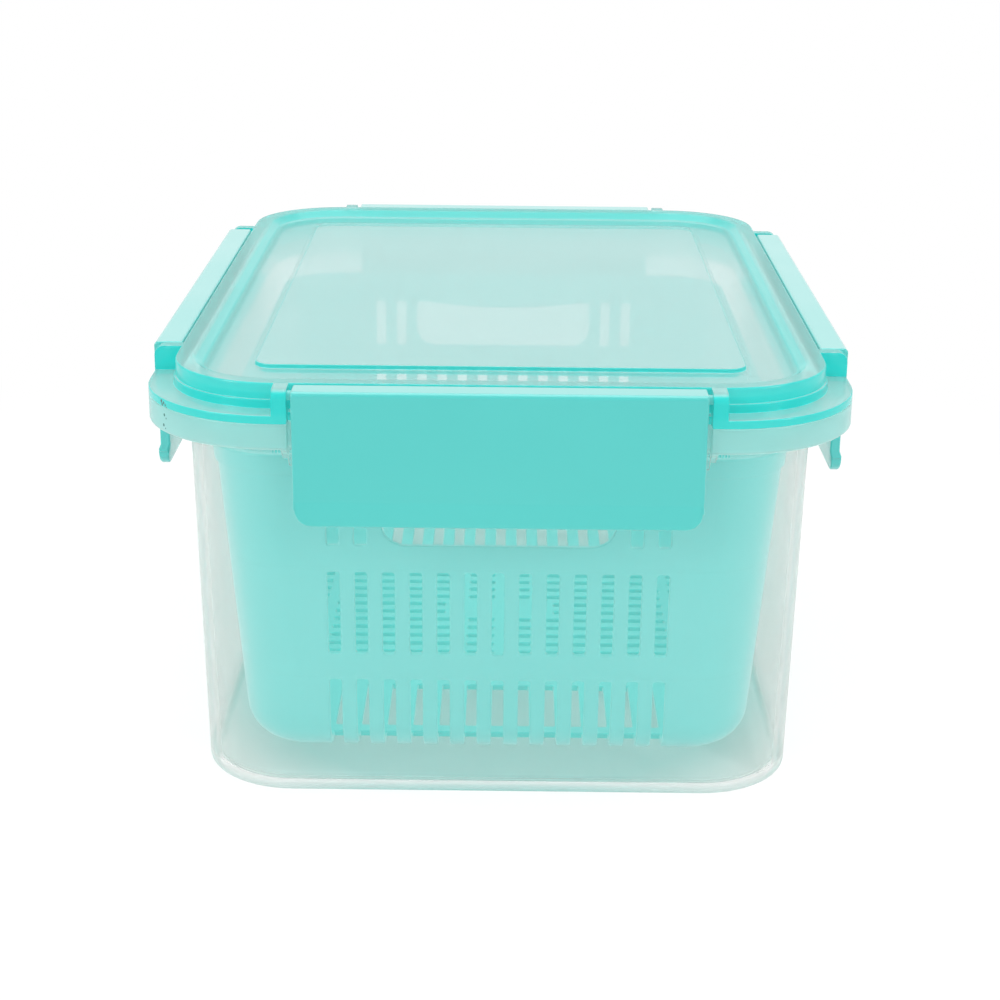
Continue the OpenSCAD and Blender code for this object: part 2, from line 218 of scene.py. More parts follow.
# drawing and sweeping, as by hand
weld = mm / 500  # points closer than this become one
onPlane = 0.004  # and within this, in mm, a point counts as lying in a plane


def clearPick():
    active = bpy.context.view_layer.objects.active
    if active and active.mode != "OBJECT":
        bpy.ops.object.mode_set(mode="OBJECT")
    bpy.ops.object.select_all(action="DESELECT")


def workOn(piece):
    clearPick()
    piece.select_set(True)
    bpy.context.view_layer.objects.active = piece


def pickPoints(test):
    # selects the points of the piece in edit mode whose place, in mm, passes the test
    data = bpy.context.object.data
    mesh = bmesh.from_edit_mesh(data)
    for face in mesh.faces:
        face.select_set(False)
    for edge in mesh.edges:
        edge.select_set(False)
    for point in mesh.verts:
        point.select_set(False)
    found = 0
    for point in mesh.verts:
        if test(*(point.co / mm)):
            point.select_set(True)
            found += 1
    mesh.select_flush(True)
    bmesh.update_edit_mesh(data)
    return found


def shift(x=0.0, y=0.0, z=0.0):
    bpy.ops.transform.translate(value=(x * mm, y * mm, z * mm))


def shiftWhere(test, x=0.0, y=0.0, z=0.0):
    if pickPoints(test):
        shift(x, y, z)


def startPoint(name, spot):
    clearPick()
    bpy.ops.mesh.primitive_plane_add(size=mm, location=(0, 0, 0))
    piece = bpy.context.object
    piece.name = name
    piece.data.name = name
    bpy.ops.object.mode_set(mode="EDIT")
    bpy.ops.mesh.select_mode(type="VERT")
    bpy.ops.mesh.select_all(action="SELECT")
    bpy.ops.mesh.merge(type="CENTER")
    shift(*spot)
    return piece


def pull(x=0.0, y=0.0, z=0.0):
    bpy.ops.mesh.extrude_region_move(TRANSFORM_OT_translate={"value": (x * mm, y * mm, z * mm)})


def drawLine(name, spots):
    # a line of points, drawn by extruding one point from place to place
    piece = startPoint(name, spots[0])
    for old, new in zip(spots, spots[1:]):
        pull(new[0] - old[0], new[1] - old[1], new[2] - old[2])
    bpy.ops.mesh.select_all(action="SELECT")
    return piece


def roundLine(corners, steps=3):
    # corners are (across, up) or (across, up, radius): the ones with a radius become arcs
    line = []
    for at, corner in enumerate(corners):
        spot = Vector((corner[0], corner[1], 0))
        if len(corner) == 2:
            line.append(spot)
            continue
        old = corners[at - 1]
        new = corners[(at + 1) % len(corners)]
        toOld = (Vector((old[0], old[1], 0)) - spot).normalized()
        toNew = (Vector((new[0], new[1], 0)) - spot).normalized()
        half = toOld.angle(toNew) / 2
        centre = spot + (toOld + toNew).normalized() * corner[2] / sin(half)
        first = spot + toOld * corner[2] / tan(half) - centre
        last = spot + toNew * corner[2] / tan(half) - centre
        for k in range(steps + 1):
            line.append(centre + first.slerp(last, k / steps) * corner[2])
    return line


def turnCorner(x, y, steps):
    bpy.ops.mesh.spin(
        steps=steps, angle=radians(90), center=(x * mm, y * mm, 0), axis=(0, 0, -1), dupli=False
    )


def sweepRound(name, corners, halfX, halfY, radius, stopsX=(), stopsY=(), steps=14, fine=3):
    # a section, given by distances in from the outline and heights, carried round the outline
    line = [(0, -halfY + spot[0], spot[1]) for spot in roundLine(corners, fine)]
    piece = drawLine(name, line)
    endX, endY = halfX - radius, halfY - radius

    def along(stops, dx, dy):
        for a, b in zip(stops, stops[1:]):
            pull((b - a) * dx, (b - a) * dy)

    outX = [0.0] + sorted(stopsX) + [endX]
    fullX = [-s for s in reversed(outX[1:])] + outX
    fullY = [-endY] + [-s for s in sorted(stopsY, reverse=True)] + [0.0] + sorted(stopsY) + [endY]
    along(outX, 1, 0)
    turnCorner(endX, -endY, steps)
    along(fullY, 0, 1)
    turnCorner(endX, endY, steps)
    along(fullX, -1, 0)
    turnCorner(-endX, endY, steps)
    along(fullY, 0, -1)
    turnCorner(-endX, -endY, steps)
    along([-s for s in reversed(outX)], 1, 0)
    bpy.ops.mesh.select_all(action="SELECT")
    bpy.ops.mesh.remove_doubles(threshold=weld)
    return piece


def capLevel(height):
    # closes the open loop that lies at one height
    pickPoints(lambda x, y, z: abs(z - height) < onPlane)
    bpy.ops.mesh.edge_face_add()


def leanIn(below, amount):
    # every point under a height moves in towards the middle, so that the corners keep their radius
    shiftWhere(lambda x, y, z: z < below and x > 0.01, x=-amount)
    shiftWhere(lambda x, y, z: z < below and x < -0.01, x=amount)
    shiftWhere(lambda x, y, z: z < below and y > 0.01, y=-amount)
    shiftWhere(lambda x, y, z: z < below and y < -0.01, y=amount)


def faceOut():
    bpy.ops.mesh.select_all(action="SELECT")
    bpy.ops.mesh.normals_make_consistent(inside=False)
    bpy.ops.object.mode_set(mode="OBJECT")


def applyModifier(piece, kind, **settings):
    workOn(piece)
    step = piece.modifiers.new(kind.lower(), kind)
    for key, value in settings.items():
        setattr(step, key, value)
    bpy.ops.object.modifier_apply(modifier=step.name)


def soften(piece, width, angle=40, segments=2):
    applyModifier(
        piece, "BEVEL", width=width * mm, segments=segments, limit_method="ANGLE",
        angle_limit=radians(angle), use_clamp_overlap=False, harden_normals=False,
    )


def smooth(piece, angle=35):
    workOn(piece)
    bpy.ops.object.shade_smooth_by_angle(angle=radians(angle))
    applyModifier(piece, "WEIGHTED_NORMAL", keep_sharp=True)


def roundEnds(halfLong, radius):
    # the flat faces at both ends of a bar along X step in and out as a quarter round
    for end in (-halfLong, halfLong):
        pickPoints(lambda x, y, z: abs(x - end) < onPlane)
        bpy.ops.mesh.edge_face_add()
    faceOut()
    bpy.ops.object.mode_set(mode="EDIT")
    for end in (-halfLong, halfLong):
        pickPoints(lambda x, y, z: abs(x - end) < onPlane)
        old = 0
        for angle in (30, 60, 90):
            new = radians(angle)
            inward = (cos(old) - cos(new)) * radius * mm
            outward = (sin(new) - sin(old)) * radius * mm
            bpy.ops.mesh.inset(thickness=inward, depth=outward)
            old = new
    bpy.ops.object.mode_set(mode="OBJECT")


def cutAway(piece, cutter, how="DIFFERENCE"):
    applyModifier(piece, "BOOLEAN", operation=how, solver="EXACT", object=cutter)
    bpy.data.objects.remove(cutter)


def joinAll(pieces):
    clearPick()
    for piece in pieces:
        piece.select_set(True)
    bpy.context.view_layer.objects.active = pieces[0]
    bpy.ops.object.join()
    return pieces[0]


def block(name, low, high):
    # a box between two corners, with its place in its mesh
    clearPick()
    middle = [(a + b) / 2 * mm for a, b in zip(low, high)]
    bpy.ops.mesh.primitive_cube_add(size=1, location=middle)
    piece = bpy.context.object
    piece.name = name
    piece.scale = [(b - a) * mm for a, b in zip(low, high)]
    bpy.ops.object.transform_apply(location=True, rotation=True, scale=True)
    return piece


def rod(name, spot, radius, length, axis="X", sides=32):
    clearPick()
    turn = {"X": (0, pi / 2, 0), "Z": (0, 0, 0)}[axis]
    bpy.ops.mesh.primitive_cylinder_add(
        vertices=sides, radius=radius * mm, depth=length * mm,
        location=[c * mm for c in spot], rotation=turn,
    )
    piece = bpy.context.object
    piece.name = name
    bpy.ops.object.transform_apply(location=True, rotation=True, scale=True)
    return piece


def copyOf(piece, name, turn=0.0, move=(0, 0, 0)):
    # a copy with its own mesh, turned about the box's middle axis
    workOn(piece)
    bpy.ops.object.duplicate(linked=False)
    twin = bpy.context.object
    twin.name = name
    twin.data.name = name
    twin.location = [c * mm for c in move]
    bpy.ops.object.transform_apply(location=True, rotation=False, scale=False)
    twin.rotation_euler = (0, 0, radians(turn))
    bpy.ops.object.transform_apply(location=False, rotation=True, scale=False)
    return twin


# sizes that several pieces share; every size of a piece is in mm
rim = {"halfX": 90.3, "halfY": 123.8, "radius": 34.7, "top": 104.2}
recess = {"short": 51.6, "long": 77.4, "depth": 3.8, "step": 0.15}
latchHalf = {"short": 50.5, "long": 76.3}
hinge = {"out": 3.9, "high": 110.8}  # the pins' axis, out from the lid's ring and up
capRun = 2.0  # how far a floor's section goes on past its last curve, before it is capped


tub = {
    "inset": 10.2,
    "wall": 1.8,
    "floor": 2.0,
    "lean": 1.95,
    "footRound": 2.4,
    "flange": 1.8,
    "skirt": 6.5,
    "skirtWall": 1.6,
    "lip": 3.2,
    "catchDrop": 5.15,
    "catchOut": 1.0,
    "catchEnd": 13.1,  # from the recess's end to the catch ledge's end
    "edge": 0.45,
    "lipRound": 0.5,
    "neckRound": 0.6,
    "smallEdge": 0.3,
    "skirtDrop": 3.55,  # how far the skirt's inside comes down past the recess's ends
    "ledgeRise": 0.45,
    "marks": (1.4, 2.8),  # lines on the skirt, up from its foot, that shape the catch ledge
}


def makeTub():
    t = tub
    top = rim["top"]
    under = top - t["flange"]
    foot = top - t["skirt"]
    inner = t["inset"] + t["wall"]
    edge = t["edge"]
    lowMark, highMark = [foot + m for m in t["marks"]]
    corners = [
        (t["inset"] + t["footRound"] + capRun, 0),
        (t["inset"], 0, t["footRound"]),
        (t["inset"], under, t["neckRound"]),
        (t["skirtWall"], under, t["lipRound"]),
        (t["skirtWall"], foot, t["smallEdge"]),
        (0, foot, edge),
        (0, lowMark),
        (0, highMark),
        (0, top, edge),
        (t["inset"], top, t["smallEdge"]),
        (t["inset"], top + t["lip"], t["lipRound"]),
        (inner, top + t["lip"], t["lipRound"]),
        (inner, under),
        (inner, t["floor"], t["footRound"]),
        (inner + t["footRound"] + capRun, t["floor"]),
    ]
    gap = recess["step"]
    wall = t["skirtWall"]

    def stops(end):
        ledge = end - t["catchEnd"]
        return (ledge, ledge + gap, end, end + gap, end + wall, end + wall + gap)

    piece = sweepRound(
        "frostedTub", corners, rim["halfX"], rim["halfY"], rim["radius"],
        stops(recess["short"]), stops(recess["long"]), fine=4,
    )
    leanIn(t["floor"] + t["footRound"] + 0.05, t["lean"])
    capLevel(0)
    capLevel(t["floor"])

    # behind each latch the skirt steps in and reaches down to the catch ledge
    drop = t["catchDrop"]
    ends = ((recess["short"], rim["halfY"], True), (recess["long"], rim["halfX"], False))
    for end, half, alongX in ends:
        for side in (-1, 1):

            def spotted(reach, inLow, inHigh, low, high):
                def test(x, y, z):
                    run, out = (x, y) if alongX else (y, x)
                    inset = half - out * side
                    return abs(run) < reach and inLow < inset < inHigh and low < z < high

                return test

            def moveIn(test, inward, down=0.0):
                across = -side * inward
                if alongX:
                    shiftWhere(test, y=across, z=-down)
                else:
                    shiftWhere(test, x=across, z=-down)

            # each window takes in the points of one part of the section, with a little to spare
            skinOut, skinIn = wall / 2, wall + 0.9
            ledge = end - t["catchEnd"] + 0.05
            inEnd, outEnd = end + wall + 0.05, end + 0.05
            inward = recess["depth"]
            # the inside of the skirt, one wall longer than the recess
            moveIn(spotted(inEnd, skinOut, skinIn, foot - 0.1, foot + 1), 0, t["skirtDrop"])
            moveIn(spotted(outEnd, skinOut, skinIn, foot - 4, foot + 1), 0, drop - t["skirtDrop"])
            moveIn(spotted(inEnd, skinOut, skinIn, foot - 9, under + 0.6), inward)
            # the outside: its lower marks come down to shape the ledge, then all steps in
            lowDrop, highDrop = drop + t["ledgeRise"], drop - 0.1
            moveIn(spotted(outEnd, -0.1, skinOut, foot - 0.1, lowMark - 0.1), 0, drop)
            moveIn(spotted(outEnd, -0.1, skinOut, lowMark - 0.1, lowMark + 0.1), 0, lowDrop)
            moveIn(spotted(outEnd, -0.1, skinOut, highMark - 0.1, highMark + 0.1), 0, highDrop)
            moveIn(spotted(outEnd, -0.1, skinOut, foot - 9, top + 1), inward)
            atLedge = spotted(ledge, inward - 0.1, inward + 0.5, foot - 9, foot - drop + 1)
            moveIn(atLedge, -t["catchOut"])
    faceOut()
    smooth(piece)
    return piece


lid = {
    "flange": 2.2,
    "tierOut": 0.5,
    "tierHigh": 2.3,
    "ringInset": 7.0,
    "ringTop": 112.9,
    "ringFlat": 4.6,
    "slope": 3.2,
    "channel": 110.4,
    "sheet": 1.6,
    "groove": (8.7, 13.2, 110.0),
    "plug": (14.8, 103.6),
    "panelX": 63.0,
    "panelY": 94.0,
    "panelRadius": 5.0,
    "panelTop": 111.5,
    "panelFoot": (-1.6, 0.2),  # where its section starts, above and below the sheet
    "panelRun": 2.0,  # and how far in it goes on
    "panelRound": 0.35,
    "slopeRound": 2.6,
    "slopeRun": 2.4,
    "ringRound": 0.75,
    "tierRoot": 0.2,
    "tierRound": 0.35,
    "flangeRound": 0.5,
    "edge": 0.4,
    "smallEdge": 0.3,
    "plugRoot": 0.8,
    "lugLong": 3.8,
    "lugTop": 112.75,
    "lugRound": 2.5,
    "bore": 1.25,
    "boreLong": 5.4,
    "boreFrom": 1.0,  # its middle, out from the lug's near face
    "lugFoot": 0.5,
    "lugRoot": 0.9,
    "lugGap": 1.1,
    "lugEdge": 0.22,
}


def makeLug(side, latchEnd, half, turn):
    # one hinge lug, made at the front and turned to its side of the lid
    d = lid
    wallAt = half - d["ringInset"]
    start = latchEnd + d["lugGap"]
    low = (start, -half, rim["top"] + d["lugFoot"])
    high = (start + d["lugLong"], -wallAt + d["lugRoot"], d["lugTop"])
    piece = block("lug", low, high)
    bpy.ops.object.mode_set(mode="EDIT")
    pickPoints(lambda x, y, z: y < -half + 0.1 and z > d["lugTop"] - 0.1)
    bpy.ops.mesh.bevel(offset=d["lugRound"] * mm, segments=6, affect="EDGES")
    bpy.ops.object.mode_set(mode="OBJECT")
    spot = (start + d["boreFrom"], -wallAt - hinge["out"], hinge["high"])
    bore = rod("bore", spot, d["bore"], d["boreLong"], sides=28)
    cutAway(piece, bore)
    soften(piece, d["lugEdge"])
    if side < 0:
        workOn(piece)
        bpy.ops.object.mode_set(mode="EDIT")
        bpy.ops.mesh.select_all(action="SELECT")
        bpy.ops.transform.mirror(constraint_axis=(True, False, False), center_override=(0, 0, 0))
        faceOut()
    twin = copyOf(piece, "lugTurned", turn)
    bpy.data.objects.remove(piece)
    return twin


def makeLid():
    d = lid
    top = rim["top"]
    ring = d["ringInset"]
    flat = ring + d["ringFlat"]
    channelAt = flat + d["slope"]
    grooveOut, grooveIn, grooveTop = d["groove"]
    plugIn, plugFoot = d["plug"]
    under = d["channel"] - d["sheet"]
    flangeTop = top + d["flange"]
    tierTop = flangeTop + d["tierHigh"]
    edge, small = d["edge"], d["smallEdge"]
    corners = [
        (channelAt + d["slopeRun"], d["channel"]),
        (channelAt, d["channel"], d["slopeRound"]),
        (flat, d["ringTop"], d["slopeRound"]),
        (ring, d["ringTop"], d["ringRound"]),
        (ring, tierTop, d["tierRoot"]),
        (ring - d["tierOut"], tierTop, d["tierRound"]),
        (ring - d["tierOut"], flangeTop, small),
        (0, flangeTop, d["flangeRound"]),
        (0, top, edge),
        (grooveOut, top, small),
        (grooveOut, grooveTop, edge),
        (grooveIn, grooveTop, edge),
        (grooveIn, plugFoot, small),
        (plugIn, plugFoot, small),
        (plugIn, under, d["plugRoot"]),
        (channelAt + d["slopeRun"], under),
    ]
    gap = recess["step"]
    stopsX = (recess["short"], recess["short"] + gap)
    stopsY = (recess["long"], recess["long"] + gap)
    shell = sweepRound(
        "tealLid", corners, rim["halfX"], rim["halfY"], rim["radius"], stopsX, stopsY, fine=4
    )
    ends = ((recess["short"], rim["halfY"], True), (recess["long"], rim["halfX"], False))
    for end, half, alongX in ends:
        for side in (-1, 1):

            def atFlange(x, y, z):
                run, out = (x, y) if alongX else (y, x)
                return abs(run) < end + 0.05 and half - out * side < 1

            inward = -side * recess["depth"]
            shiftWhere(atFlange, y=inward if alongX else 0, x=0 if alongX else inward)
    bpy.ops.object.mode_set(mode="OBJECT")

    # the raised panel's edge, above and below, is a part of the same sheet
    sheet, panelTop, channel = d["sheet"], d["panelTop"], d["channel"]
    panelUnder = panelTop - sheet
    footAbove, footBelow = d["panelFoot"]
    run, curve = d["panelRun"], d["panelRound"]
    above = [(footAbove, channel), (0, channel, curve), (0, panelTop, curve), (run, panelTop)]
    below = [
        (footBelow, under), (sheet, under, small),
        (sheet, panelUnder, small), (sheet + run, panelUnder),
    ]
    faces = []
    for name, line, level in (("panelAbove", above, panelTop), ("panelBelow", below, panelUnder)):
        face = sweepRound(name, line, d["panelX"], d["panelY"], d["panelRadius"], stopsX, stopsY)
        capLevel(level)
        bpy.ops.object.mode_set(mode="OBJECT")
        faces.append(face)
    piece = joinAll([shell] + faces)
    bpy.ops.object.mode_set(mode="EDIT")
    for level in (channel, under):
        bpy.ops.mesh.select_mode(type="EDGE")
        mesh = bmesh.from_edit_mesh(piece.data)
        for edge in mesh.edges:
            edge.select_set(False)
        for edge in mesh.edges:
            isOpen = len(edge.link_faces) == 1
            if isOpen and all(abs(p.co.z / mm - level) < onPlane for p in edge.verts):
                edge.select_set(True)
        bmesh.update_edit_mesh(piece.data)
        bpy.ops.mesh.bridge_edge_loops()
    bpy.ops.mesh.select_mode(type="VERT")
    faceOut()

    lugs = []
    for turn in (0, 180, 90, 270):
        which, half = ("short", "halfY") if turn in (0, 180) else ("long", "halfX")
        for side in (-1, 1):
            lugs.append(makeLug(side, latchHalf[which], rim[half], turn))
    cutAway(piece, joinAll(lugs), "UNION")
    smooth(piece)
    return piece


seal = {"outer": 8.9, "inner": 13.0, "low": 107.4, "high": 110.0, "bead": 0.9}


def makeSeal():
    s = seal
    b = s["bead"]
    corners = [
        (s["outer"], s["high"], b), (s["outer"], s["low"], b),
        (s["inner"], s["low"], b), (s["inner"], s["high"], b),
    ]
    line = roundLine(corners, 4)
    piece = sweepRound(
        "gasket", [(p.x, p.y) for p in line] + [(line[0].x, line[0].y)],
        rim["halfX"], rim["halfY"], rim["radius"],
    )
    faceOut()
    smooth(piece, 60)
    return piece


basket = {
    "halfX": 73.7,
    "halfY": 107.2,
    "radius": 17.2,
    "top": 91.6,
    "base": 5.8,
    "wall": 1.7,
    "lean": 5.6,
    "footRound": 10.5,
    "band": 5.3,
    "bandOut": 0.8,
    "pitch": 7.1,
    "slot": 3.3,
    "across": 6,
    "along": 10,
    "handle": (66.8, 82.1, 30.05, 6.0, 1.9),  # low, high, half width, corner, bow
    "middle": (35.9, 59.3),
    "lowTop": 28.4,
    "sideLow": 16.3,
    "returnAt": 89.0,
    "longSlot": (57.0, 85.0),
    "crossPitch": 6.55,
    "cross": 2.7,
    "crossRows": 5,
    "crossRuns": ((1.45, 9.65), (12.55, 51.1), (54.0, 60.0)),
    "patch": 16.9,
    "feet": (46.0, 46.2, 4.5, 3.8),  # across, along, radius, height
    "feetEdge": 0.5,
    "feetLap": 0.4,  # how far they reach into the floor
    "cutPast": 1.0,
    "bandRoot": 0.2,
    "bandEdge": 0.3,
    "topEdge": 0.55,
    "handleTop": 1.2,  # radius of the handle's upper corners
    "shoulder": 3.0,  # from the handle's ends to the start of the bow
    "slotRound": 0.7,
    "slotEdge": 0.22,
}


def slotCutter(low, high, axis):
    # a cutter with rounded ends, running along one axis
    piece = block("slot", low, high)
    bpy.ops.object.mode_set(mode="EDIT")
    bpy.ops.mesh.select_mode(type="EDGE")
    mesh = bmesh.from_edit_mesh(piece.data)
    way = "XYZ".index(axis)
    for edge in mesh.edges:
        run = edge.verts[0].co - edge.verts[1].co
        edge.select_set(abs(run[way]) > 0.9 * run.length)
    bmesh.update_edit_mesh(piece.data)
    bpy.ops.mesh.bevel(offset=basket["slotRound"] * mm, segments=2, affect="EDGES")
    bpy.ops.mesh.select_mode(type="VERT")
    bpy.ops.object.mode_set(mode="OBJECT")
    return piece


def rowOf(first, count, pitch, way):
    # copies of a cutter in a row centred on it
    row = [first]
    for k in range(1, count + 1):
        for side in (-1, 1):
            move = [0, 0, 0]
            move[way] = side * k * pitch
            row.append(copyOf(first, first.name, move=move))
    return row


def handleCutter():
    b = basket
    low, high, half, corner, bow = b["handle"]
    topRound, shoulder = b["handleTop"], b["shoulder"]
    spots = [
        (-half, low, corner), (half, low, corner),
        (half, high - 0.1, topRound), (-half, high - 0.1, topRound),
    ]
    line = [(p.x, p.y) for p in roundLine(spots, 6)]
    # the upper edge bows down towards the middle
    upper = [(x, y) for x, y in line if y > high - 2]
    radius = ((half - shoulder) ** 2 + bow**2) / (2 * bow)
    right = [p for p in line if p not in upper or p[0] > 0]
    left = [p for p in line if p in upper and p[0] < 0]
    arch = []
    parts = 12
    for k in range(parts + 1):
        x = (half - shoulder - 0.2) * (1 - 2 * k / parts)
        arch.append((x, high - bow + radius - sqrt(radius**2 - x**2)))
    spots = [(x, -rim["halfY"], z) for x, z in right + arch + left]
    piece = drawLine("handleCutter", spots)
    bpy.ops.mesh.edge_face_add()
    bpy.ops.mesh.select_all(action="SELECT")
    pull(y=2 * rim["halfY"])
    faceOut()
    return piece


def makeBasket():
    b = basket
    top, base, wall, lean = b["top"], b["base"], b["wall"], b["lean"]
    innerRound = b["footRound"] - wall / 2
    bandFoot = top - b["band"]
    corners = [
        (b["footRound"] + capRun, base),
        (0, base, b["footRound"]),
        (0, bandFoot, b["bandRoot"]),
        (-b["bandOut"], bandFoot, b["bandEdge"]),
        (-b["bandOut"], top, b["topEdge"]),
        (wall, top, b["topEdge"]),
        (wall, base + wall, innerRound),
        (wall + innerRound + capRun, base + wall),
    ]
    piece = sweepRound("drainerBasket", corners, b["halfX"], b["halfY"], b["radius"], fine=7)
    slopeFoot = base + wall + innerRound
    leanIn(slopeFoot + 0.05, lean)
    # the foot of the band follows the walls' lean
    bandLean = lean * (top - bandFoot) / (top - base - b["footRound"])

    def atBand(z):
        return abs(z - bandFoot) < 0.6

    for sign in (-1, 1):
        shiftWhere(lambda x, y, z: atBand(z) and x * sign > 0.01, x=-sign * bandLean)
        shiftWhere(lambda x, y, z: atBand(z) and y * sign > 0.01, y=-sign * bandLean)
    capLevel(base)
    capLevel(base + wall)
    faceOut()

    half = b["slot"] / 2
    depth = rim["halfY"]
    under, over = base - b["cutPast"], base + wall + b["cutPast"]  # through the floor
    cutters = []
    low, high = b["middle"]
    first = slotCutter((-half, -depth, low), (half, depth, high), "Y")
    cutters += rowOf(first, b["across"], b["pitch"], 0)
    handleLow, handleHigh = b["handle"][:2]
    first = slotCutter((-half, -depth, handleLow), (half, depth, handleHigh), "Y")
    for k in (b["across"] - 1, b["across"]):
        for side in (-1, 1):
            cutters.append(copyOf(first, "slot", move=(side * k * b["pitch"], 0, 0)))
    bpy.data.objects.remove(first)
    for side in (-1, 1):
        ends = sorted((side * b["returnAt"], side * depth))
        first = slotCutter((-half, ends[0], under), (half, ends[1], b["lowTop"]), "Y")
        cutters += rowOf(first, b["across"], b["pitch"], 0)
        ends = sorted((side * b["longSlot"][0], side * b["longSlot"][1]))
        first = slotCutter((-half, ends[0], under), (half, ends[1], over), "Z")
        cutters += rowOf(first, b["across"], b["pitch"], 0)
    wide = rim["halfX"]
    for low, high in (b["middle"], (b["sideLow"], b["lowTop"])):
        first = slotCutter((-wide, -half, low), (wide, half, high), "X")
        cutters += rowOf(first, b["along"], b["pitch"], 1)
    half = b["cross"] / 2
    for row in range(-b["crossRows"], b["crossRows"] + 1):
        beside = row in (0, 1)
        at = row * b["crossPitch"]
        for side in (-1, 1):
            for number, (near, far) in enumerate(b["crossRuns"]):
                # the solid patch takes the place of the inner slots in two rows
                if beside and number == 0:
                    continue
                if beside and number == 1:
                    near = b["patch"]
                ends = sorted((side * near, side * far))
                low, high = (ends[0], at - half, under), (ends[1], at + half, over)
                cutters.append(slotCutter(low, high, "Z"))
    cutters.append(handleCutter())
    print("basket cutters:", len(cutters))
    cutAway(piece, joinAll(cutters))
    soften(piece, b["slotEdge"], angle=50, segments=1)
    across, along, radius, tall = b["feet"]
    lap = b["feetLap"]
    feet = []
    for x in (-across, across):
        for y in (-along, along):
            foot = rod("foot", (x, y, base + (lap - tall) / 2), radius, tall + lap, "Z", 40)
            soften(foot, b["feetEdge"], segments=3)
            feet.append(foot)
    piece = joinAll([piece] + feet)
    smooth(piece)
    return piece


latch = {
    "reach": 7.9,
    "top": 112.6,
    "tall": 34.4,
    "front": 2.6,
    "plate": 2.2,
    "waist": 0.65,
    "flare": 6.4,
    "corner": 4.0,
    "gap": 0.45,
    "edge": 0.6,
    "endRound": 0.45,
    "pin": 1.2,
    "bead": 1.7,
    "pinPast": 4.4,
    "hookOut": 3.0,
    "hookTop": 92.4,
    "hookTall": 2.3,
    "hookIn": 12.0,
    "hookRound": 0.15,
    "hookEdge": 0.3,
    "hookLip": 0.25,
    "topRound": 1.2,
    "flareRound": 5.0,
    "flareRise": 3.2,
    "flareInside": 2.0,
    "footRound": 0.7,
    "footInside": 0.5,
    "topInside": 1.0,
    "plateEdge": 0.3,
    "beadIn": 0.3,
    "pinEdge": 0.3,
}


def makeLatch(name, halfLong, wallAt):
    # drawn in section at its left end, carried to its right end, then rounded and fitted out
    d = latch
    foot = d["top"] - d["tall"]
    flareTop = foot + d["flare"]
    waist = d["reach"] - d["waist"]
    corners = [
        (-d["gap"], d["top"], d["edge"]),
        (-d["reach"], d["top"], d["topRound"]),
        (-waist, flareTop + d["flareRise"], d["flareRound"]),
        (-waist, flareTop, d["flareRound"]),
        (-d["reach"], foot, d["footRound"]),
        (-d["reach"] + d["front"], foot, d["footInside"]),
        (-waist + d["front"], flareTop, d["flareInside"]),
        (-d["reach"] + d["front"], d["top"] - d["plate"], d["topInside"]),
        (-d["gap"], d["top"] - d["plate"], d["plateEdge"]),
    ]
    bodyEnd = halfLong - d["endRound"]
    line = [(-bodyEnd, -wallAt + p.x, p.y) for p in roundLine(corners, 4)]
    line.append(line[0])
    piece = drawLine(name, line)
    bpy.ops.mesh.remove_doubles(threshold=weld)
    bpy.ops.mesh.select_all(action="SELECT")
    corner = d["corner"]
    turns = [radians(a) for a in (0, 15, 30, 45, 60, 75, 90)]
    stops = [bodyEnd - corner * (1 - sin(a)) for a in turns]  # from the corner's start to the end
    stations = [-s for s in reversed(stops)] + stops
    for a, b in zip(stations, stations[1:]):
        pull(x=b - a)
    footBand = foot + 2 * d["footRound"]
    for a, at in zip(turns, stops):
        rise = corner * (1 - cos(a))
        shiftWhere(lambda x, y, z: abs(abs(x) - at) < onPlane and z < footBand, z=rise)
    roundEnds(bodyEnd, d["endRound"])

    hookEnd = halfLong - d["hookIn"]
    root = d["reach"] - d["front"] / 2
    hookTop, hookTall = d["hookTop"], d["hookTall"]
    spots = [
        (-d["hookOut"], hookTop, d["hookLip"]),
        (-d["hookOut"], hookTop - hookTall / 2, d["hookEdge"]),
        (-d["hookOut"] - hookTall / 2, hookTop - hookTall, d["hookEdge"]),
        (-root, hookTop - hookTall),
        (-root, hookTop),
    ]
    line = [(-hookEnd, -wallAt + p.x, p.y) for p in roundLine(spots, 3)]
    line.append(line[0])
    hook = drawLine("hook", line)
    bpy.ops.mesh.remove_doubles(threshold=weld)
    bpy.ops.mesh.select_all(action="SELECT")
    pull(x=2 * hookEnd)
    roundEnds(hookEnd, d["hookRound"])

    axis = (0, -wallAt - hinge["out"], hinge["high"])
    bead = rod("bead", axis, d["bead"], 2 * (halfLong - d["beadIn"]), sides=36)
    pin = rod("pin", axis, d["pin"], 2 * (halfLong + d["pinPast"]), sides=28)
    soften(bead, d["pinEdge"])
    soften(pin, d["pinEdge"])
    piece = joinAll([piece, hook, bead, pin])
    smooth(piece)
    return piece


def newGroup(name, ins, outs):
    # a shader node group with named inputs and outputs
    group = bpy.data.node_groups.new(name, "ShaderNodeTree")
    for title, kind, value in ins:
        socket = group.interface.new_socket(title, in_out="INPUT", socket_type="NodeSocket" + kind)
        if value is not None:
            socket.default_value = value
    for title, kind in outs:
        group.interface.new_socket(title, in_out="OUTPUT", socket_type="NodeSocket" + kind)
    return group, group.nodes.new("NodeGroupInput"), group.nodes.new("NodeGroupOutput")


